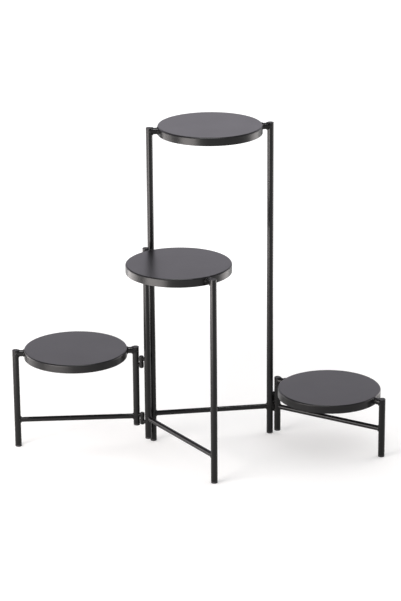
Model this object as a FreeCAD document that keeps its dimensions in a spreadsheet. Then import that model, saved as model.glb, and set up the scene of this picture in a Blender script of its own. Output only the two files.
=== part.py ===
import FreeCAD, Part
import math
import os
import Sketcher

# Tiered plant stand: four tube frames of falling height, hinged together on upright barrel hinges,
# each carrying one round pressed tray. Millimetres, +Z up, standing on the plane z = 0.
#
# Each frame has its own axes: origin on the floor under its hinge leg, X towards its other leg.
# The top frame lies along the part's own X. The upper and lower frames hang on the left like the
# pages of a book and open towards -Y, and the bottom frame hangs on the right and folds behind.

DIMENSIONS = {
    # tubes and rods
    "tube_radius": 7.0,
    "tube_wall": 1.2,
    "rod_radius": 5.5,
    "leg_spacing": 256.0,
    "top_crossbar_height": 62.5,
    "upper_crossbar_height": 60.0,
    "lower_crossbar_height": 61.0,
    "bottom_crossbar_height": 63.0,
    # heights of the leg tops
    "top_height": 698.0,
    "upper_height": 444.0,
    "lower_height": 220.0,
    "bottom_height": 131.0,
    # the hinge legs stop short of the floor, so that only five feet carry the stand
    "upper_leg_gap": 14.0,
    "lower_leg_gap": 40.5,
    "bottom_leg_gap": 7.5,
    # pressed trays
    "tray_radius": 110.0,
    "tray_depth": 17.4,
    "tray_sheet": 1.2,
    "tray_edge_round": 3.0,
    "tray_proud": 0.5,
    "rail_clearance": 0.1,
    "rail_hole_clearance": 0.05,
    # plugs in the tube ends
    "cap_head": 1.0,
    "cap_round": 0.8,
    "foot_head": 4.0,
    "foot_round": 1.4,
    "plug_length": 12.0,
    "plug_clearance": 0.05,
    # barrel hinges
    "barrel_radius": 5.0,
    "barrel_round": 3.0,
    "hinge_reach": 14.0,
    "hinge_offset_angle": 32.5,
    "knuckle_height": 14.0,
    "long_knuckle_height": 22.5,
    "waist_round": 1.4,
    "lug_radius": 3.0,
    "pin_radius": 2.5,
    "pin_clearance": 0.05,
    "pin_chamfer": 0.4,
    "bore_end_wall": 3.0,
    "washer_radius": 3.6,
    "washer_thickness": 0.8,
    "washer_gap": 0.1,
    # heights of the hinges' parting planes
    "upper_hinge_high_height": 380.0,
    "upper_hinge_low_height": 37.0,
    "lower_hinge_high_height": 187.6,
    "lower_hinge_low_height": 58.2,
    "bottom_hinge_height": 70.0,
    # how far each frame stands open from folded flat
    "upper_opening": 65.5,
    "lower_opening": 119.5,
    "bottom_opening": 221.0,
}

os.makedirs("parts", exist_ok=True)
doc = FreeCAD.newDocument("tiered_plant_stand")
sheet = doc.addObject("Spreadsheet::Sheet", "dims")
for row, (alias, number) in enumerate(DIMENSIONS.items(), start=1):
    sheet.set("A%d" % row, alias)
    sheet.set("B%d" % row, str(number))
    sheet.setAlias("B%d" % row, alias)
doc.recompute()

ORIGIN = FreeCAD.Vector(0, 0, 0)
UP = FreeCAD.Vector(0, 0, 1)
SIDEWAYS = FreeCAD.Vector(1, 0, 0)
HALF_TURN = 180
NEARLY_ZERO = 1e-6
sub_parts = []


def dim(alias):
    """A driving dimension's value."""
    return float(getattr(sheet, alias))


def new_body(label):
    """A body that becomes the sub-part of this name."""
    body = doc.addObject("PartDesign::Body", label)
    body.Label = label
    sub_parts.append(body)
    return body


def add_feature(body, kind, name, **settings):
    """A feature of the body, with its settings; a text bound to a length is an expression."""
    feature = body.newObject(kind, name)
    for key, value in settings.items():
        if isinstance(value, str) and key in ("Length", "Radius", "Size", "Value"):
            feature.setExpression(key, value)
        else:
            setattr(feature, key, value)
    return feature


def origin_plane(body, role):
    """One of the body's own origin planes."""
    return [item for item in body.Origin.OriginFeatures if item.Role == role][0]


def circle_sketch(body, name, role, circles):
    """Circles on an origin plane, each (x, y, radius) as expressions on the driving dimensions."""
    sketch = body.newObject("Sketcher::SketchObject", name)
    sketch.AttachmentSupport = [(origin_plane(body, role), "")]
    sketch.MapMode = "FlatFace"
    for x, y, radius in circles:
        circle = sketch.addGeometry(Part.Circle(ORIGIN, UP, 1.0), False)
        bound = [
            (("Radius", circle, 1.0), radius),
            (("DistanceX", -1, 1, circle, 3, 1.0), x),
            (("DistanceY", -1, 1, circle, 3, 1.0), y),
        ]
        for constraint, expression in bound:
            index = sketch.addConstraint(Sketcher.Constraint(*constraint))
            sketch.setExpression("Constraints[%d]" % index, expression)
    return sketch


def edges_where(feature, wanted):
    """Names of the feature's edges for which wanted(edge) holds."""
    edges = feature.Shape.Edges
    return ["Edge%d" % (index + 1) for index, edge in enumerate(edges) if wanted(edge)]


def faces_where(feature, wanted):
    """Names of the feature's faces for which wanted(face) holds."""
    faces = feature.Shape.Faces
    return ["Face%d" % (index + 1) for index, face in enumerate(faces) if wanted(face)]


def is_ring(edge, radius, height):
    """Whether the edge is a level circle of this radius at this height."""
    if not isinstance(edge.Curve, Part.Circle):
        return False
    box = edge.BoundBox
    misses = (box.ZLength, abs(box.ZMin - height), abs(edge.Curve.Radius - radius))
    return max(misses) < NEARLY_ZERO


# Places of the four frames ---------------------------------------------------------------------

def pointing(degrees, length=1.0):
    """A level vector at this angle from X."""
    angle = math.radians(degrees)
    return FreeCAD.Vector(length * math.cos(angle), length * math.sin(angle), 0)


def frame_place(pin, heading):
    """The place of a frame with this heading whose hinge leg hangs on the pin."""
    to_pin = pointing(heading + HALF_TURN - dim("hinge_offset_angle"), dim("hinge_reach"))
    return FreeCAD.Placement(pin - to_pin, FreeCAD.Rotation(UP, heading))


reach = dim("hinge_reach")
offset_angle = dim("hinge_offset_angle")
spacing = dim("leg_spacing")

upper_heading = -dim("upper_opening")
lower_heading = upper_heading - dim("lower_opening")
bottom_heading = HALF_TURN - dim("bottom_opening")

top_place = FreeCAD.Placement(ORIGIN, FreeCAD.Rotation(UP, 0))
upper_pin = pointing(HALF_TURN + offset_angle, reach)
upper_place = frame_place(upper_pin, upper_heading)
lower_pin = upper_place.Base + pointing(upper_heading + HALF_TURN + offset_angle, reach)
lower_place = frame_place(lower_pin, lower_heading)
bottom_pin = FreeCAD.Vector(spacing, 0, 0) + pointing(offset_angle, reach)
bottom_place = frame_place(bottom_pin, bottom_heading)


def plan_extent():
    """Lowest and highest corner of the stand seen from above, over its legs and trays."""
    circles = []
    for place in (top_place, upper_place, lower_place, bottom_place):
        for along, radius in ((0, "tube_radius"), (0.5, "tray_radius"), (1, "tube_radius")):
            circles.append((place.multVec(SIDEWAYS * (along * spacing)), dim(radius)))
    low = FreeCAD.Vector(min(c.x - r for c, r in circles), min(c.y - r for c, r in circles), 0)
    high = FreeCAD.Vector(max(c.x + r for c, r in circles), max(c.y + r for c, r in circles), 0)
    return low, high


# The part's origin is the middle of the floor that it covers.
low_corner, high_corner = plan_extent()
shift = FreeCAD.Placement((low_corner + high_corner) * -0.5, FreeCAD.Rotation(UP, 0))
FRAMES = {
    "top": shift.multiply(top_place),
    "upper": shift.multiply(upper_place),
    "lower": shift.multiply(lower_place),
    "bottom": shift.multiply(bottom_place),
}


def stand_on(body, frame, along=0.0, height=0.0, turn=0.0, upside_down=False):
    """Puts the body on its frame, this far along it and above the floor."""
    rotation = FreeCAD.Rotation(UP, turn)
    if upside_down:
        rotation = rotation.multiply(FreeCAD.Rotation(SIDEWAYS, HALF_TURN))
    local = FreeCAD.Placement(FreeCAD.Vector(along, 0, height), rotation)
    body.Placement = FRAMES[frame].multiply(local)


def stand_at_pin(body, pin, height, direction, upside_down=False):
    """Puts the body on a hinge axis, its own X in this direction."""
    rotation = FreeCAD.Rotation(UP, direction)
    if upside_down:
        rotation = rotation.multiply(FreeCAD.Rotation(SIDEWAYS, HALF_TURN))
    local = FreeCAD.Placement(pin + UP * height, rotation)
    body.Placement = shift.multiply(local)


# Sub-parts -------------------------------------------------------------------------------------

def make_leg(label, frame, along, length, gap):
    """An upright tube between its foot plug and its top cap, the length of both heads short."""
    body = new_body(label)
    circles = [("0", "0", "dims.tube_radius"), ("0", "0", "dims.tube_radius - dims.tube_wall")]
    section = circle_sketch(body, label + "_section", "XY_Plane", circles)
    height = "dims.%s - dims.cap_head - dims.foot_head" % length
    if gap:
        height += " - dims.%s" % gap
    add_feature(body, "PartDesign::Pad", label + "_tube", Profile=section, Length=height)
    rise = dim("foot_head") + (dim(gap) if gap else 0)
    stand_on(body, frame, along, rise)


def make_bar(label, frame, radius, height):
    """A level tube from leg to leg, its ends cut to saddles that sit on the legs."""
    body = new_body(label)
    circles = [("0", "0", radius), ("0", "0", radius + " - dims.tube_wall")]
    section = circle_sketch(body, label + "_section", "YZ_Plane", circles)
    add_feature(
        body, "PartDesign::Pad", label + "_tube", Profile=section, Length="dims.leg_spacing")
    legs = [("0", "0", "dims.tube_radius"), ("dims.leg_spacing", "0", "dims.tube_radius")]
    saddles = circle_sketch(body, label + "_saddles", "XY_Plane", legs)
    add_feature(
        body, "PartDesign::Pocket", label + "_saddle_cuts", Profile=saddles,
        Type="ThroughAll", SideType="Symmetric")
    stand_on(body, frame, 0, height)


def make_plug(label, frame, along, head, head_round, height, upside_down):
    """A moulded plug: a rounded head the size of the tube, and a spigot that fills its bore."""
    body = new_body(label)
    disc = circle_sketch(body, label + "_disc", "XY_Plane", [("0", "0", "dims.tube_radius")])
    pad = add_feature(
        body, "PartDesign::Pad", label + "_head", Profile=disc, Length="dims." + head)
    doc.recompute()
    rim = edges_where(pad, lambda edge: is_ring(edge, dim("tube_radius"), dim(head)))
    add_feature(
        body, "PartDesign::Fillet", label + "_round", Base=(pad, rim),
        Radius="dims." + head_round)
    bore = "dims.tube_radius - dims.tube_wall - dims.plug_clearance"
    stem = circle_sketch(body, label + "_stem", "XY_Plane", [("0", "0", bore)])
    add_feature(
        body, "PartDesign::Pad", label + "_spigot", Profile=stem, Reversed=True,
        Length="dims.plug_length")
    stand_on(body, frame, along, height, upside_down=upside_down)


def make_tray(label, frame, length):
    """A round pan pressed from sheet, upside down, its wall pierced twice for the rail."""
    body = new_body(label)
    disc = circle_sketch(body, label + "_disc", "XY_Plane", [("0", "0", "dims.tray_radius")])
    blank = add_feature(
        body, "PartDesign::Pad", label + "_blank", Profile=disc, Reversed=True,
        Length="dims.tray_depth")
    doc.recompute()
    rim = edges_where(blank, lambda edge: is_ring(edge, dim("tray_radius"), 0))
    rounded = add_feature(
        body, "PartDesign::Fillet", label + "_edge", Base=(blank, rim),
        Radius="dims.tray_edge_round")
    doc.recompute()
    below = faces_where(
        rounded, lambda face: abs(face.CenterOfMass.z + dim("tray_depth")) < NEARLY_ZERO)
    add_feature(
        body, "PartDesign::Thickness", label + "_pan", Base=(rounded, below), Reversed=True,
        Value="dims.tray_sheet")
    doc.recompute()
    drop = "-(dims.tray_sheet + dims.rail_clearance + dims.tube_radius)"
    across = [("0", drop, "dims.tube_radius + dims.rail_hole_clearance")]
    hole = circle_sketch(body, label + "_rail_hole", "YZ_Plane", across)
    add_feature(
        body, "PartDesign::Pocket", label + "_rail_holes", Profile=hole, Type="ThroughAll",
        SideType="Symmetric")
    stand_on(body, frame, spacing / 2, dim(length) + dim("tray_proud"))


def make_knuckle(label, pin, height, direction, tall, upside_down):
    """Half a barrel hinge: a bored barrel with a domed end, and the lug that joins it to its leg."""
    body = new_body(label)
    disc = circle_sketch(body, label + "_disc", "XY_Plane", [("0", "0", "dims.barrel_radius")])
    rise = "dims.%s - (dims.washer_thickness + dims.washer_gap) / 2" % tall
    barrel = add_feature(
        body, "PartDesign::Pad", label + "_barrel", Profile=disc, Length=rise)
    doc.recompute()
    top = barrel.Shape.BoundBox.ZMax
    end = edges_where(barrel, lambda edge: is_ring(edge, dim("barrel_radius"), top))
    domed = add_feature(
        body, "PartDesign::Fillet", label + "_dome", Base=(barrel, end),
        Radius="dims.barrel_round")
    doc.recompute()
    parting = edges_where(domed, lambda edge: is_ring(edge, dim("barrel_radius"), 0))
    add_feature(
        body, "PartDesign::Fillet", label + "_waist", Base=(domed, parting),
        Radius="dims.waist_round")
    middle = "dims.%s / 2" % tall
    bar = circle_sketch(body, label + "_bar", "YZ_Plane", [("0", middle, "dims.lug_radius")])
    add_feature(
        body, "PartDesign::Pad", label + "_lug", Profile=bar, Length="dims.hinge_reach")
    leg = circle_sketch(
        body, label + "_leg", "XY_Plane", [("dims.hinge_reach", "0", "dims.tube_radius")])
    add_feature(
        body, "PartDesign::Pocket", label + "_saddle", Profile=leg, Type="ThroughAll",
        SideType="Symmetric")
    # the pin is pressed into the lower half and turns in the upper one
    hole = "dims.pin_radius" if upside_down else "dims.pin_radius + dims.pin_clearance"
    bore = circle_sketch(body, label + "_hole", "XY_Plane", [("0", "0", hole)])
    add_feature(
        body, "PartDesign::Pocket", label + "_bore", Profile=bore, Reversed=True,
        Length=rise + " - dims.bore_end_wall")
    gap = (dim("washer_thickness") + dim("washer_gap")) / 2
    place = height - gap if upside_down else height + gap
    stand_at_pin(body, pin, place, direction, upside_down)


def make_pin(label, pin, height, tall):
    """A plain pin, chamfered at both ends, standing in the lower half's bore."""
    body = new_body(label)
    disc = circle_sketch(body, label + "_disc", "XY_Plane", [("0", "0", "dims.pin_radius")])
    both_bores = "2 * (dims.%s - dims.bore_end_wall) - 2 * dims.pin_chamfer" % tall
    shaft = add_feature(
        body, "PartDesign::Pad", label + "_shaft", Profile=disc, Length=both_bores)
    doc.recompute()
    ends = edges_where(shaft, lambda edge: edge.BoundBox.ZLength < NEARLY_ZERO)
    add_feature(
        body, "PartDesign::Chamfer", label + "_chamfers", Base=(shaft, ends),
        Size="dims.pin_chamfer")
    stand_at_pin(body, pin, height - dim(tall) + dim("bore_end_wall"), 0)


def make_washer(label, pin, height):
    """The ring between the two halves, lying on the lower one."""
    body = new_body(label)
    circles = [("0", "0", "dims.washer_radius"), ("0", "0", "dims.pin_radius + dims.pin_clearance")]
    section = circle_sketch(body, label + "_section", "XY_Plane", circles)
    add_feature(
        body, "PartDesign::Pad", label + "_ring", Profile=section,
        Length="dims.washer_thickness")
    below = (dim("washer_thickness") + dim("washer_gap")) / 2
    stand_at_pin(body, pin, height - below, 0)


def make_hinge(label, pin, top_direction, base_direction, tall):
    """A whole hinge: its upper half, its lower half, the pin and the washer between them."""
    height = dim(label + "_height")
    make_knuckle(label + "_top_half", pin, height, top_direction, tall, False)
    make_knuckle(label + "_base_half", pin, height, base_direction, tall, True)
    make_pin(label + "_pin", pin, height, tall)
    make_washer(label + "_washer", pin, height)


def make_frame(name, sides, gaps):
    """One tier: two legs with their caps and feet, the rail, the crossbar and the tray."""
    length = name + "_height"
    for side, gap in zip(sides, gaps):
        along = spacing * sides.index(side)
        make_leg("%s_leg_%s" % (name, side), name, along, length, gap)
        make_plug(
            "%s_cap_%s" % (name, side), name, along, "cap_head", "cap_round",
            dim(length) - dim("cap_head"), False)
        rise = dim("foot_head") + (dim(gap) if gap else 0)
        make_plug(
            "%s_foot_%s" % (name, side), name, along, "foot_head", "foot_round", rise, True)
    rail_height = dim(length) + dim("tray_proud") - dim("tray_sheet") \
        - dim("rail_clearance") - dim("tube_radius")
    make_bar(name + "_rail", name, "dims.tube_radius", rail_height)
    make_bar(name + "_crossbar", name, "dims.rod_radius", dim(name + "_crossbar_height"))
    make_tray(name + "_tray", name, length)


make_frame("top", ("left", "right"), (None, None))
make_frame("upper", ("hinged", "free"), ("upper_leg_gap", None))
make_frame("lower", ("hinged", "free"), ("lower_leg_gap", None))
make_frame("bottom", ("hinged", "free"), ("bottom_leg_gap", None))

# From a pin, the direction of each leg that hangs on it.
top_left_from_pin = offset_angle
top_right_from_pin = HALF_TURN + offset_angle
upper_from_pin = upper_heading - offset_angle
upper_from_lower_pin = upper_heading + offset_angle
lower_from_pin = lower_heading - offset_angle
bottom_from_pin = bottom_heading - offset_angle

# Each pair's two hinges are mirrored, so that a frame can't be lifted off its pins.
make_hinge("upper_hinge_high", upper_pin, top_left_from_pin, upper_from_pin, "knuckle_height")
make_hinge("upper_hinge_low", upper_pin, upper_from_pin, top_left_from_pin, "knuckle_height")
make_hinge("lower_hinge_high", lower_pin, upper_from_lower_pin, lower_from_pin, "knuckle_height")
make_hinge("lower_hinge_low", lower_pin, lower_from_pin, upper_from_lower_pin, "knuckle_height")
make_hinge("bottom_hinge", bottom_pin, bottom_from_pin, top_right_from_pin, "long_knuckle_height")

doc.recompute()

failed = [item.Name for item in doc.Objects if "Invalid" in item.State or "Error" in item.State]
if failed:
    raise RuntimeError("features that failed: %s" % failed)
for body in sub_parts:
    if body.Shape.isNull() or not body.Shape.isValid() or len(body.Shape.Solids) != 1:
        raise RuntimeError("bad shape: %s" % body.Label)
for body in sub_parts:
    body.Shape.exportStep("parts/%s.step" % body.Label)
print("sub-parts: %d" % len(sub_parts))
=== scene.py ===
import math
import random

import bpy
from mathutils import Matrix, Vector


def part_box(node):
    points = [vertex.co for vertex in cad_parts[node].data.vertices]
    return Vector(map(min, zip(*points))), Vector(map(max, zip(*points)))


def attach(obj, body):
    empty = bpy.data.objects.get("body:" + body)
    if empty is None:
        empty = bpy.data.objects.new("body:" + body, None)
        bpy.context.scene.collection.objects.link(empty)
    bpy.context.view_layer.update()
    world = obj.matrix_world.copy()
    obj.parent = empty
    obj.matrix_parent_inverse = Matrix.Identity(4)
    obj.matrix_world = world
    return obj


bl_info = {
    "name": "Folding tiered plant stand",
    "version": (1, 0, 0),
    "blender": (4, 5, 0),
    "location": "3D View > Sidebar > Plant stand",
    "description": "Finishes, weld seams and studio of a folding plant stand with round trays",
    "category": "Object",
}

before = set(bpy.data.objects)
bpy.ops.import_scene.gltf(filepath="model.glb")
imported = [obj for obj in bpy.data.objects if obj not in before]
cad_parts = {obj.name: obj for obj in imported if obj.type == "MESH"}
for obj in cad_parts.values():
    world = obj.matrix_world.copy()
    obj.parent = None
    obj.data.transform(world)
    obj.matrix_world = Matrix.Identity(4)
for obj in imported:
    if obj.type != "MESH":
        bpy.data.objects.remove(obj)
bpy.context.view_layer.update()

UP = Vector((0, 0, 1))
WHITE = (1, 1, 1)
BLACK = (0, 0, 0)

# The hinges' lugs are round bars of this radius, from barrel to leg.
LUG_RADIUS = 0.003

# Each tier's two legs, and for each hinge the leg that its upper and its lower half are welded to.
LEGS = {
    "top": ("top_leg_left", "top_leg_right"),
    "upper": ("upper_leg_hinged", "upper_leg_free"),
    "lower": ("lower_leg_hinged", "lower_leg_free"),
    "bottom": ("bottom_leg_hinged", "bottom_leg_free"),
}
HINGES = {
    "upper_hinge_high": ("top_leg_left", "upper_leg_hinged"),
    "upper_hinge_low": ("upper_leg_hinged", "top_leg_left"),
    "lower_hinge_high": ("upper_leg_hinged", "lower_leg_hinged"),
    "lower_hinge_low": ("lower_leg_hinged", "upper_leg_hinged"),
    "bottom_hinge": ("bottom_leg_hinged", "top_leg_right"),
}

# The photograph's height in pixels, and the lens, place and aim of its camera.
PHOTO_HEIGHT = 601
FOCAL_PIXELS = 2341.1
CAMERA_PLACE = Vector((-0.7013, -4.6028, 1.9125))
CAMERA_HEADING = math.radians(81.286)
CAMERA_PITCH = math.radians(18.680)
CAMERA_ROLL = math.radians(0.426)

# The colour sockets of a Mix node; the sockets before them carry numbers and vectors.
MIX_LOW = 6
MIX_HIGH = 7
MIX_RESULT = 2

# How far a powder coat's colour and roughness swing about their middle.
NOISE_MIDDLE = 0.5
CLOUD_IN_COLOUR = 0.2
CLOUD_IN_ROUGHNESS = 0.06
GRAIN_IN_ROUGHNESS = 0.04

# A bead's girth wanders in this many bulges round the seam, each with at least this share.
BULGE_COUNTS = (2, 3, 5)
LEAST_BULGE = 0.3

# The floor reaches this far each way, with this many faint speckles a metre, this much darker.
FLOOR_REACH = 40.0
FLOOR_SPECKLES = 30.0
SPECKLE_SHADE = 0.985


# Node trees as expressions ---------------------------------------------------------------------

class Wire:
    """An output socket of a node tree. Arithmetic on it adds Math nodes to the same tree."""

    def __init__(self, socket):
        self.socket = socket

    @staticmethod
    def add(tree, kind, settings=None, inputs=None, output=0):
        """Adds a node: first its settings, then its sockets' values or links."""
        node = tree.nodes.new(kind)
        for name, value in (settings or {}).items():
            setattr(node, name, value)
        for name, value in (inputs or {}).items():
            if isinstance(value, Wire):
                tree.links.new(value.socket, node.inputs[name])
            else:
                node.inputs[name].default_value = value
        return Wire(node.outputs[output])

    def math(self, operation, *values):
        """A Math node of this operation on these values."""
        inputs = dict(enumerate(values))
        return Wire.add(self.socket.id_data, "ShaderNodeMath", {"operation": operation}, inputs)

    def __add__(self, other):
        return self.math("ADD", self, other)

    def __radd__(self, other):
        return self.math("ADD", other, self)

    def __sub__(self, other):
        return self.math("SUBTRACT", self, other)

    def __rsub__(self, other):
        return self.math("SUBTRACT", other, self)

    def __mul__(self, other):
        return self.math("MULTIPLY", self, other)

    def __rmul__(self, other):
        return self.math("MULTIPLY", other, self)


def mix_colours(tree, factor, low, high):
    """A colour between two others."""
    return Wire.add(
        tree, "ShaderNodeMix", {"data_type": "RGBA"},
        {"Factor": factor, MIX_LOW: (*low, 1), MIX_HIGH: (*high, 1)}, MIX_RESULT)


class Finish:
    """A material with one Principled shader, and the node helpers that its surface needs."""

    def __init__(self, name, **constants):
        self.material = bpy.data.materials.new(name)
        self.material.use_nodes = True
        self.tree = self.material.node_tree
        self.shader = self.tree.nodes["Principled BSDF"]
        for socket, value in constants.items():
            self.shader.inputs[socket.replace("_", " ")].default_value = value
        self.place = Wire.add(self.tree, "ShaderNodeTexCoord", output="Object")

    def noise(self, per_metre, detail=2.0, stretch=(1, 1, 1)):
        """Soft noise in the object's own space, from 0 to 1, with this many features a metre."""
        scaled = Wire.add(
            self.tree, "ShaderNodeMapping", {"vector_type": "POINT"},
            {"Vector": self.place, "Scale": stretch})
        return Wire.add(
            self.tree, "ShaderNodeTexNoise", {"noise_dimensions": "3D"},
            {"Vector": scaled, "Scale": per_metre, "Detail": detail, "Roughness": 0.5})

    def mix(self, factor, low, high):
        """A colour between two others."""
        return mix_colours(self.tree, factor, low, high)

    def drive(self, socket, wire):
        """Feeds a socket of the shader with what changes over the surface."""
        self.tree.links.new(wire.socket, self.shader.inputs[socket])

    def relief(self, height, distance=1.0):
        """Surface relief, its height in units of this distance in metres."""
        bump = Wire.add(
            self.tree, "ShaderNodeBump", {}, {"Height": height, "Distance": distance})
        self.drive("Normal", bump)


def shade(colour, share):
    """The colour, lighter or darker by this share."""
    return tuple(channel * share for channel in colour)


FRAME_COAT = "frame powder coat"


def coat_material(name, colour, roughness, look):
    """Powder coat: an even colour with faint clouding, satin gloss and an orange-peel skin."""
    finish = Finish(name, IOR=look.coating_ior, Specular_Tint=(*[look.facing_gloss] * 3, 1))
    cloud = finish.noise(look.cloud_scale)
    dark = shade(colour, 1 - CLOUD_IN_COLOUR)
    light = shade(colour, 1 + CLOUD_IN_COLOUR)
    finish.drive("Base Color", finish.mix(cloud, dark, light))
    waves = finish.noise(look.peel_scale, detail=1.0)
    specks = finish.noise(look.grain_scale, detail=3.0)
    clouding = CLOUD_IN_ROUGHNESS * (cloud - NOISE_MIDDLE)
    graining = GRAIN_IN_ROUGHNESS * (specks - NOISE_MIDDLE)
    finish.drive("Roughness", roughness + clouding + graining)
    finish.relief(waves * look.peel_depth + specks * look.grain_depth)
    return finish.material


def fine_material(name, colours, roughness, swing, depth, noise, **constants):
    """A finish whose colour, roughness and relief all follow one fine noise."""
    finish = Finish(name, **constants)
    grain = finish.noise(**noise)
    finish.drive("Base Color", finish.mix(grain, *colours))
    finish.drive("Roughness", roughness + swing * grain)
    finish.relief(grain, depth)
    return finish.material


def assign(names, material):
    """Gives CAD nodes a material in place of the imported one."""
    for name in names:
        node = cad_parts[name]
        node.data.materials.clear()
        node.data.materials.append(material)


def nodes_like(*words):
    """The CAD nodes whose names hold any of these words."""
    return [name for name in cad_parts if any(word in name for word in words)]


def middle_of(name):
    """The middle of a node's box."""
    low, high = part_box(name)
    return (Vector(low) + Vector(high)) / 2


def half_width(name, axis):
    """Half a node's extent along an axis, which for a tube across that axis is its radius."""
    low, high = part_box(name)
    return (high[axis] - low[axis]) / 2


def level(vector):
    """The vector's direction seen from above."""
    return Vector((vector.x, vector.y, 0)).normalized()


# Weld beads ------------------------------------------------------------------------------------

def seam(upright, upright_radius, bar_height, bar_radius, along, steps):
    """Where a level bar's skin meets an upright tube's: points, each with both skins' normals."""
    side = UP.cross(along)
    found = []
    for step in range(steps):
        turn = math.tau * step / steps
        across = bar_radius * math.cos(turn)
        out = math.sqrt(max(upright_radius ** 2 - across ** 2, 0.0))
        spoke = along * out + side * across
        foot = Vector((upright.x, upright.y, bar_height + bar_radius * math.sin(turn)))
        found.append((foot + spoke, spoke / upright_radius, side * math.cos(turn) + UP * math.sin(turn)))
    return found


def slow_wave(name, swing):
    """A function of the turn round the seam that wanders by up to this swing, its own for each name."""
    draw = random.Random(name)
    waves = [(count, draw.uniform(0, math.tau), draw.uniform(LEAST_BULGE, 1.0))
             for count in BULGE_COUNTS]
    total = sum(share for _, _, share in waves)
    return lambda turn: swing * sum(
        share * math.sin(count * turn + start) for count, start, share in waves) / total


def weld_bead(name, leg, points, radius, weld):
    """A rippled bead laid along a closed seam, as a mesh that rides with the leg's body.

    It is dressed flush with the top of the tray that the leg carries.
    """
    tier = leg.split("_")[0]
    tray_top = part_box(tier + "_tray")[1][2]
    count = len(points)
    lengths = [(points[(i + 1) % count][0] - points[i][0]).length for i in range(count)]
    total = sum(lengths)
    ripples = round(total / weld.ripple_pitch)
    wander = slow_wave(name, weld.wander)
    vertices = []
    run = 0.0
    for index, (point, first_normal, second_normal) in enumerate(points):
        tangent = (points[(index + 1) % count][0] - points[index - 1][0]).normalized()
        open_way = first_normal + second_normal
        outward = (open_way - tangent * open_way.dot(tangent)).normalized()
        sideways = tangent.cross(outward)
        # 1 where the skins meet square, 0 where they run flush
        corner = first_normal.cross(second_normal).length
        part = (run / total * ripples) % 1.0
        dome = 1.0 - (2.0 * part - 1.0) ** 2
        girth = radius + wander(math.tau * run / total) + weld.ripple_height * dome
        flush = weld.flush_height - girth
        sink = flush + (weld.throat * girth - flush) * corner
        heart = point + outward * sink
        for spoke in range(weld.sides):
            angle = math.tau * spoke / weld.sides
            vertex = heart + (outward * math.cos(angle) + sideways * math.sin(angle)) * girth
            vertex.z = min(vertex.z, tray_top)
            vertices.append(vertex)
        run += lengths[index]
    faces = []
    for ring in range(count):
        for spoke in range(weld.sides):
            here = ring * weld.sides
            there = (ring + 1) % count * weld.sides
            after = (spoke + 1) % weld.sides
            faces.append((here + spoke, here + after, there + after, there + spoke))
    mesh = bpy.data.meshes.new(name)
    mesh.from_pydata(vertices, [], faces)
    mesh.shade_smooth()
    mesh.materials.append(bpy.data.materials[FRAME_COAT])
    bead = bpy.data.objects.new(name, mesh)
    bpy.context.scene.collection.objects.link(bead)
    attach(bead, tier + "_frame")


def steps_round(radius, weld):
    """How many points a seam of about this radius needs, a few to each ripple."""
    return weld.steps_in_ripple * round(math.tau * radius / weld.ripple_pitch)


def weld_bar(bar, legs, radius, weld):
    """Welds both ends of a level bar to its legs."""
    height = middle_of(bar).z
    bar_radius = half_width(bar, 2)
    for leg, other in (legs, legs[::-1]):
        along = level(middle_of(other) - middle_of(leg))
        points = seam(
            middle_of(leg), half_width(leg, 0), height, bar_radius, along,
            steps_round(bar_radius, weld))
        weld_bead("weld_%s_%s" % (bar, leg.split("_")[-1]), leg, points, radius, weld)


# Settings a user would change ------------------------------------------------------------------

class PlantStandFinish(bpy.types.PropertyGroup):
    """Powder coat of the frames and the trays"""
    frame_colour: bpy.props.FloatVectorProperty(
        name="Frame coat", description="Colour of the powder coat on tubes and hinges",
        subtype="COLOR", size=3, min=0, max=1, default=(0.0055, 0.0055, 0.0055))
    frame_roughness: bpy.props.FloatProperty(
        name="Frame roughness", description="Roughness of the coat on tubes and hinges",
        subtype="FACTOR", min=0, max=1, default=0.24)
    tray_colour: bpy.props.FloatVectorProperty(
        name="Tray coat", description="Colour of the powder coat on the trays",
        subtype="COLOR", size=3, min=0, max=1, default=(0.0060, 0.0060, 0.0062))
    tray_roughness: bpy.props.FloatProperty(
        name="Tray roughness", description="Roughness of the coat on the trays",
        subtype="FACTOR", min=0, max=1, default=0.31)
    coating_ior: bpy.props.FloatProperty(
        name="Coat IOR", description="Index of refraction of the cured coat",
        min=1, max=3, default=1.47)
    facing_gloss: bpy.props.FloatProperty(
        name="Facing gloss", description="Share of the coat's mirror gloss that is left looking square on",
        subtype="FACTOR", min=0, max=1, default=0.50)
    cloud_scale: bpy.props.FloatProperty(
        name="Clouding", description="Patches of uneven colour and gloss in a metre",
        min=0, default=14.0)
    peel_scale: bpy.props.FloatProperty(
        name="Orange peel", description="Waves of the coat's skin in a metre",
        min=0, default=420.0)
    grain_scale: bpy.props.FloatProperty(
        name="Grain", description="Specks of the coat's skin in a metre",
        min=0, default=2200.0)
    peel_depth: bpy.props.FloatProperty(
        name="Peel depth", description="Height of the orange-peel waves",
        subtype="DISTANCE", unit="LENGTH", min=0, default=0.000008, precision=6)
    grain_depth: bpy.props.FloatProperty(
        name="Grain depth", description="Height of the fine grain",
        subtype="DISTANCE", unit="LENGTH", min=0, default=0.000002, precision=6)


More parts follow.
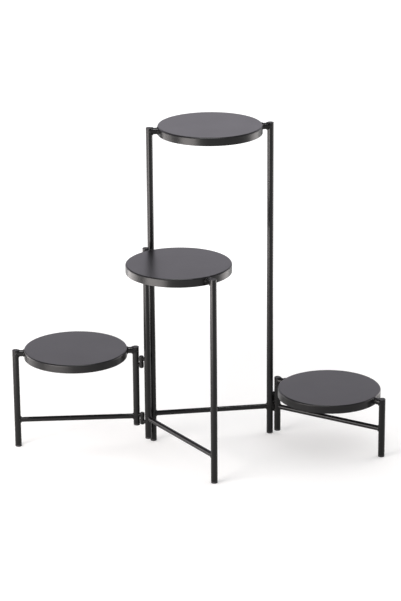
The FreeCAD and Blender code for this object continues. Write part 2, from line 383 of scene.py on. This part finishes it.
class PlantStandWelds(bpy.types.PropertyGroup):
    """Weld beads between tubes, trays and hinge lugs"""
    bar_bead: bpy.props.FloatProperty(
        name="Tube bead", description="Radius of the bead between tubes",
        subtype="DISTANCE", unit="LENGTH", min=0, default=0.0013, precision=5)
    lug_bead: bpy.props.FloatProperty(
        name="Hinge bead", description="Radius of the bead between a hinge lug and its leg",
        subtype="DISTANCE", unit="LENGTH", min=0, default=0.0010, precision=5)
    tray_bead: bpy.props.FloatProperty(
        name="Tray bead", description="Radius of the bead between a rail and the tray's wall",
        subtype="DISTANCE", unit="LENGTH", min=0, default=0.0012, precision=5)
    flush_height: bpy.props.FloatProperty(
        name="Flush height", description="How far a bead stands out where both skins run flush",
        subtype="DISTANCE", unit="LENGTH", min=0, default=0.0003, precision=5)
    throat: bpy.props.FloatProperty(
        name="Throat", description="How far a bead's heart stands out of a square corner, in radii",
        min=0, max=1, default=0.35)
    ripple_pitch: bpy.props.FloatProperty(
        name="Ripple pitch", description="Length of one ripple along a bead",
        subtype="DISTANCE", unit="LENGTH", min=0.0001, default=0.0014, precision=5)
    ripple_height: bpy.props.FloatProperty(
        name="Ripple height", description="Height of a ripple over the valley beside it",
        subtype="DISTANCE", unit="LENGTH", min=0, default=0.00014, precision=5)
    wander: bpy.props.FloatProperty(
        name="Wander", description="How much a bead's girth varies along it",
        subtype="DISTANCE", unit="LENGTH", min=0, default=0.00012, precision=5)
    steps_in_ripple: bpy.props.IntProperty(
        name="Steps in a ripple", description="Rings of points in each ripple", min=2, default=4)
    sides: bpy.props.IntProperty(
        name="Sides", description="Points round a bead", min=3, default=9)


class PlantStandStage(bpy.types.PropertyGroup):
    """Surroundings, softboxes and floor"""
    world_level: bpy.props.FloatProperty(
        name="Fill", description="Strength of the white light from all round",
        min=0, default=0.8)
    world_colour: bpy.props.FloatVectorProperty(
        name="Mirrored colour", description="Colour of the surroundings as glossy surfaces mirror them",
        subtype="COLOR", size=3, min=0, max=2, default=(1.02, 0.98, 1.08))
    ceiling_level: bpy.props.FloatProperty(
        name="Ceiling", description="Brightness of the ceiling as glossy surfaces mirror it",
        subtype="FACTOR", min=0, max=1, default=0.3)
    ceiling_start: bpy.props.FloatProperty(
        name="Ceiling start", description="Sine of the elevation at which the ceiling starts to darken",
        min=0, max=1, default=0.42)
    ceiling_end: bpy.props.FloatProperty(
        name="Ceiling end", description="Sine of the elevation from which the ceiling is fully dark",
        min=0, max=1, default=0.62)
    box_colour: bpy.props.FloatVectorProperty(
        name="Softbox colour", description="Colour of the softboxes that stand on the floor",
        subtype="COLOR", size=3, min=0, max=1, default=(1.0, 0.94, 0.92))
    box_distance: bpy.props.FloatProperty(
        name="Softbox distance", description="How far the softboxes stand from the middle",
        subtype="DISTANCE", unit="LENGTH", min=0, default=1.15)
    box_lean: bpy.props.FloatProperty(
        name="Softbox lean", description="How far the softboxes lean back from upright",
        subtype="ANGLE", unit="ROTATION", min=0, max=1.5, default=math.radians(25))
    key_strength: bpy.props.FloatProperty(
        name="Key softbox", description="Brightness of the softbox in front on the left",
        min=0, default=11.0)
    left_strength: bpy.props.FloatProperty(
        name="Left softbox", description="Brightness of the softbox at the left",
        min=0, default=4.5)
    right_strength: bpy.props.FloatProperty(
        name="Right softbox", description="Brightness of the softbox at the right",
        min=0, default=4.0)
    top_strength: bpy.props.FloatProperty(
        name="Top softbox", description="Brightness of the softbox overhead",
        min=0, default=24.0)
    top_width: bpy.props.FloatProperty(
        name="Top width", description="Width of the softbox overhead",
        subtype="DISTANCE", unit="LENGTH", min=0, default=0.9)
    top_depth: bpy.props.FloatProperty(
        name="Top depth", description="Depth of the softbox overhead",
        subtype="DISTANCE", unit="LENGTH", min=0, default=0.45)
    top_place: bpy.props.FloatVectorProperty(
        name="Top place", description="Where the softbox overhead has its middle",
        subtype="XYZ", unit="LENGTH", size=3, default=(-0.08, -0.28, 2.0))
    floor_colour: bpy.props.FloatVectorProperty(
        name="Floor", description="Colour of the floor",
        subtype="COLOR", size=3, min=0, max=1, default=(0.92, 0.92, 0.92))
    near_lift: bpy.props.FloatProperty(
        name="Near lift", description="How much whiter the near floor looks than the light makes it",
        min=0, default=0.15)
    far_lift: bpy.props.FloatProperty(
        name="Far lift", description="How much whiter the far floor looks than the light makes it",
        min=0, default=0.35)
    lift_start: bpy.props.FloatProperty(
        name="Lift start", description="Distance from the middle at which the floor's lift starts",
        subtype="DISTANCE", unit="LENGTH", min=0, default=0.6)
    lift_end: bpy.props.FloatProperty(
        name="Lift end", description="Distance from the middle at which the floor's lift is whole",
        subtype="DISTANCE", unit="LENGTH", min=0, default=1.3)


# Finishes --------------------------------------------------------------------------------------

class PLANTSTAND_OT_coat_frames(bpy.types.Operator):
    """Powder coat the tubes and the hinge halves"""
    bl_idname = "plantstand.coat_frames"
    bl_label = "Coat frames"

    def execute(self, context):
        look = context.scene.plant_stand_finish
        coat = coat_material(
            FRAME_COAT, look.frame_colour, look.frame_roughness, look)
        assign(nodes_like("_leg_", "_rail", "_crossbar", "_half"), coat)
        return {"FINISHED"}


class PLANTSTAND_OT_coat_trays(bpy.types.Operator):
    """Powder coat the four trays"""
    bl_idname = "plantstand.coat_trays"
    bl_label = "Coat trays"

    def execute(self, context):
        look = context.scene.plant_stand_finish
        coat = coat_material(
            "tray powder coat", look.tray_colour, look.tray_roughness, look)
        assign(nodes_like("_tray"), coat)
        return {"FINISHED"}


class PLANTSTAND_OT_mould_plugs(bpy.types.Operator):
    """Moulded plastic for the caps and feet"""
    bl_idname = "plantstand.mould_plugs"
    bl_label = "Mould plugs"

    def execute(self, context):
        plastic = fine_material(
            "moulded plug", colours=((0.010, 0.010, 0.011), (0.016, 0.016, 0.017)),
            roughness=0.5, swing=0.12, depth=0.00001,
            noise={"per_metre": 1600.0, "detail": 3.0}, IOR=1.46)
        assign(nodes_like("_cap_", "_foot_"), plastic)
        return {"FINISHED"}


class PLANTSTAND_OT_turn_pins(bpy.types.Operator):
    """Bright turned steel for the hinge pins"""
    bl_idname = "plantstand.turn_pins"
    bl_label = "Turn pins"

    def execute(self, context):
        steel = fine_material(
            "turned pin", colours=((0.42, 0.42, 0.43), (0.56, 0.56, 0.57)),
            roughness=0.24, swing=0.14, depth=0.000004,
            noise={"per_metre": 900.0, "stretch": (0.05, 0.05, 1.0)}, Metallic=1.0)
        assign(nodes_like("_pin"), steel)
        return {"FINISHED"}


class PLANTSTAND_OT_cut_washers(bpy.types.Operator):
    """Black nylon for the hinge washers"""
    bl_idname = "plantstand.cut_washers"
    bl_label = "Cut washers"

    def execute(self, context):
        nylon = fine_material(
            "nylon washer", colours=((0.012, 0.012, 0.012), (0.020, 0.020, 0.020)),
            roughness=0.42, swing=0.1, depth=0.000006, noise={"per_metre": 1200.0}, IOR=1.53)
        assign(nodes_like("_washer"), nylon)
        return {"FINISHED"}


# Welds -----------------------------------------------------------------------------------------

class PLANTSTAND_OT_weld_bars(bpy.types.Operator):
    """Weld the rails and crossbars to the legs"""
    bl_idname = "plantstand.weld_bars"
    bl_label = "Weld bars"

    def execute(self, context):
        weld = context.scene.plant_stand_welds
        for tier, legs in LEGS.items():
            weld_bar(tier + "_rail", legs, weld.bar_bead, weld)
            weld_bar(tier + "_crossbar", legs, weld.bar_bead, weld)
        return {"FINISHED"}


class PLANTSTAND_OT_weld_trays(bpy.types.Operator):
    """Weld the rails to the trays' walls where they pass through"""
    bl_idname = "plantstand.weld_trays"
    bl_label = "Weld trays"

    def execute(self, context):
        weld = context.scene.plant_stand_welds
        for tier, legs in LEGS.items():
            tray = tier + "_tray"
            rail = tier + "_rail"
            rail_radius = half_width(rail, 2)
            for leg in legs:
                along = level(middle_of(leg) - middle_of(tray))
                points = seam(
                    middle_of(tray), half_width(tray, 0), middle_of(rail).z, rail_radius,
                    along, steps_round(rail_radius, weld))
                side = leg.split("_")[-1]
                weld_bead("weld_%s_%s" % (tray, side), leg, points, weld.tray_bead, weld)
        return {"FINISHED"}


class PLANTSTAND_OT_weld_hinges(bpy.types.Operator):
    """Weld each hinge half's lug to its leg"""
    bl_idname = "plantstand.weld_hinges"
    bl_label = "Weld hinges"

    def execute(self, context):
        weld = context.scene.plant_stand_welds
        for hinge, legs in HINGES.items():
            parting = middle_of(hinge + "_washer").z
            for half, leg in zip(("_top_half", "_base_half"), legs):
                low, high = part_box(hinge + half)
                far_end = max(low[2], high[2], key=lambda height: abs(height - parting))
                along = level(middle_of(hinge + "_pin") - middle_of(leg))
                points = seam(
                    middle_of(leg), half_width(leg, 0), (parting + far_end) / 2, LUG_RADIUS,
                    along, steps_round(LUG_RADIUS, weld))
                weld_bead("weld_" + hinge + half, leg, points, weld.lug_bead, weld)
        return {"FINISHED"}


# Studio ----------------------------------------------------------------------------------------

def seen_by_camera_and_gloss(tree):
    """1 for rays that come from the camera or a mirror-like bounce, 0 for the rest."""
    kinds = [Wire.add(tree, "ShaderNodeLightPath", output=name)
             for name in ("Is Camera Ray", "Is Glossy Ray", "Is Transmission Ray")]
    return kinds[0].math("MAXIMUM", kinds[0], kinds[1].math("MAXIMUM", kinds[1], kinds[2]))


def aimed(place, target):
    """A rotation that looks from one point to another."""
    return (Vector(target) - Vector(place)).to_track_quat("-Z", "Y").to_euler()


def softbox(name, width, height, strength, colour, place, target):
    """A softbox of this size, at a place and facing a point; the camera doesn't see it."""
    light = bpy.data.lights.new(name, "AREA")
    light.shape = "RECTANGLE"
    light.size = width
    light.size_y = height
    light.energy = strength * math.pi * width * height
    light.color = colour
    lamp = bpy.data.objects.new(name, light)
    lamp.location = place
    lamp.rotation_euler = aimed(place, target)
    lamp.visible_camera = False
    bpy.context.scene.collection.objects.link(lamp)
    return lamp


def floor_softbox(name, stage, turn, width, height, strength):
    """A softbox that leans back on the floor, at this turn from the camera's side to the right."""
    heading = CAMERA_HEADING + math.pi + math.radians(turn)
    place = Vector((math.cos(heading), math.sin(heading), 0)) * stage.box_distance
    place.z = height / 2 * math.cos(stage.box_lean)
    rise = stage.box_distance * math.tan(stage.box_lean)
    softbox(name, width, height, strength, stage.box_colour, place, (0, 0, place.z + rise))


class PLANTSTAND_OT_build_studio(bpy.types.Operator):
    """White floor and surroundings, four softboxes and the camera"""
    bl_idname = "plantstand.build_studio"
    bl_label = "Build studio"

    def execute(self, context):
        stage = context.scene.plant_stand_stage
        self.make_world(context, stage)
        self.make_floor(context, stage)
        floor_softbox(
            "key softbox", stage, turn=-48, width=0.80, height=0.75, strength=stage.key_strength)
        floor_softbox(
            "left softbox", stage, turn=-111, width=0.80, height=0.45, strength=stage.left_strength)
        floor_softbox(
            "right softbox", stage, turn=112, width=0.60, height=0.60, strength=stage.right_strength)
        below = (stage.top_place[0], stage.top_place[1], 0)
        top = softbox(
            "top softbox", stage.top_width, stage.top_depth, stage.top_strength, WHITE,
            stage.top_place, below)
        top.visible_diffuse = False
        self.make_camera(context)
        context.scene.view_settings.view_transform = "Standard"
        return {"FINISHED"}

    def make_world(self, context, stage):
        """White all round; mirrored, it is faintly tinted and darker towards the ceiling."""
        world = bpy.data.worlds.new("studio")
        world.use_nodes = True
        tree = world.node_tree
        seen = seen_by_camera_and_gloss(tree)
        mirrored = Wire.add(tree, "ShaderNodeLightPath", output="Is Glossy Ray")
        outward = Wire.add(tree, "ShaderNodeTexCoord", output="Generated")
        upward = Wire.add(tree, "ShaderNodeSeparateXYZ", {}, {"Vector": outward}, output="Z")
        ceiling = Wire.add(
            tree, "ShaderNodeMapRange", {"interpolation_type": "SMOOTHSTEP"},
            {"Value": upward, "From Min": stage.ceiling_start, "From Max": stage.ceiling_end})
        shade_of_ceiling = 1 - (1 - stage.ceiling_level) * mirrored * ceiling
        strength = (stage.world_level + (1 - stage.world_level) * seen) * shade_of_ceiling
        colour = mix_colours(tree, mirrored, WHITE, stage.world_colour)
        background = tree.nodes["Background"]
        tree.links.new(colour.socket, background.inputs["Color"])
        tree.links.new(strength.socket, background.inputs["Strength"])
        context.scene.world = world

    def make_floor(self, context, stage):
        """A white floor that keeps the stand's shadow and fades into the white further off."""
        mesh = bpy.data.meshes.new("floor")
        corners = [(x * FLOOR_REACH, y * FLOOR_REACH, 0) for x, y in ((-1, -1), (1, -1), (1, 1), (-1, 1))]
        mesh.from_pydata(corners, [], [(0, 1, 2, 3)])
        floor = bpy.data.objects.new("floor", mesh)
        context.scene.collection.objects.link(floor)
        finish = Finish("floor paint", Roughness=0.9, IOR=1.3, Emission_Strength=1)
        speckle = finish.noise(FLOOR_SPECKLES)
        low = shade(stage.floor_colour, SPECKLE_SHADE)
        finish.drive("Base Color", finish.mix(speckle, low, stage.floor_colour))
        seen = seen_by_camera_and_gloss(finish.tree)
        camera = Wire.add(finish.tree, "ShaderNodeLightPath", output="Is Camera Ray")
        ground = Wire.add(finish.tree, "ShaderNodeNewGeometry", output="Position")
        away = Wire.add(
            finish.tree, "ShaderNodeVectorMath", {"operation": "LENGTH"}, {0: ground},
            output="Value")
        lift = Wire.add(
            finish.tree, "ShaderNodeMapRange", {"interpolation_type": "SMOOTHSTEP"},
            {"Value": away, "From Min": stage.lift_start, "From Max": stage.lift_end,
             "To Max": stage.far_lift})
        glow = seen * lift + camera * stage.near_lift
        finish.drive("Emission Color", finish.mix(glow, BLACK, WHITE))
        mesh.materials.append(finish.material)

    def make_camera(self, context):
        """The photograph's camera."""
        data = bpy.data.cameras.new("camera")
        data.sensor_fit = "VERTICAL"
        data.lens = FOCAL_PIXELS * data.sensor_height / PHOTO_HEIGHT
        data.clip_end = 100
        camera = bpy.data.objects.new("camera", data)
        forward = Vector((
            math.cos(CAMERA_HEADING) * math.cos(CAMERA_PITCH),
            math.sin(CAMERA_HEADING) * math.cos(CAMERA_PITCH),
            -math.sin(CAMERA_PITCH),
        ))
        unrolled = forward.to_track_quat("-Z", "Y").to_matrix()
        roll = Matrix.Rotation(-CAMERA_ROLL, 3, "Z")
        camera.matrix_world = Matrix.Translation(CAMERA_PLACE) @ (unrolled @ roll).to_4x4()
        context.scene.collection.objects.link(camera)
        context.scene.camera = camera


class PLANTSTAND_PT_panel(bpy.types.Panel):
    """The stand's operators and settings"""
    bl_label = "Plant stand"
    bl_idname = "PLANTSTAND_PT_panel"
    bl_space_type = "VIEW_3D"
    bl_region_type = "UI"
    bl_category = "Plant stand"

    def draw(self, context):
        for operator in OPERATORS:
            self.layout.operator(operator.bl_idname)
        scene = context.scene
        for group in (scene.plant_stand_finish, scene.plant_stand_welds, scene.plant_stand_stage):
            for name in group.__annotations__:
                self.layout.prop(group, name)


OPERATORS = (
    PLANTSTAND_OT_coat_frames,
    PLANTSTAND_OT_coat_trays,
    PLANTSTAND_OT_mould_plugs,
    PLANTSTAND_OT_turn_pins,
    PLANTSTAND_OT_cut_washers,
    PLANTSTAND_OT_weld_bars,
    PLANTSTAND_OT_weld_trays,
    PLANTSTAND_OT_weld_hinges,
    PLANTSTAND_OT_build_studio,
)
CLASSES = (
    PlantStandFinish, PlantStandWelds, PlantStandStage, *OPERATORS, PLANTSTAND_PT_panel)


def register():
    for each in CLASSES:
        bpy.utils.register_class(each)
    bpy.types.Scene.plant_stand_finish = bpy.props.PointerProperty(type=PlantStandFinish)
    bpy.types.Scene.plant_stand_welds = bpy.props.PointerProperty(type=PlantStandWelds)
    bpy.types.Scene.plant_stand_stage = bpy.props.PointerProperty(type=PlantStandStage)


def unregister():
    del bpy.types.Scene.plant_stand_stage
    del bpy.types.Scene.plant_stand_welds
    del bpy.types.Scene.plant_stand_finish
    for each in reversed(CLASSES):
        bpy.utils.unregister_class(each)


def main():
    register()
    bpy.ops.plantstand.coat_frames()
    bpy.ops.plantstand.coat_trays()
    bpy.ops.plantstand.mould_plugs()
    bpy.ops.plantstand.turn_pins()
    bpy.ops.plantstand.cut_washers()
    bpy.ops.plantstand.weld_bars()
    bpy.ops.plantstand.weld_trays()
    bpy.ops.plantstand.weld_hinges()
    bpy.ops.plantstand.build_studio()


if __name__ == "__main__":
    main()
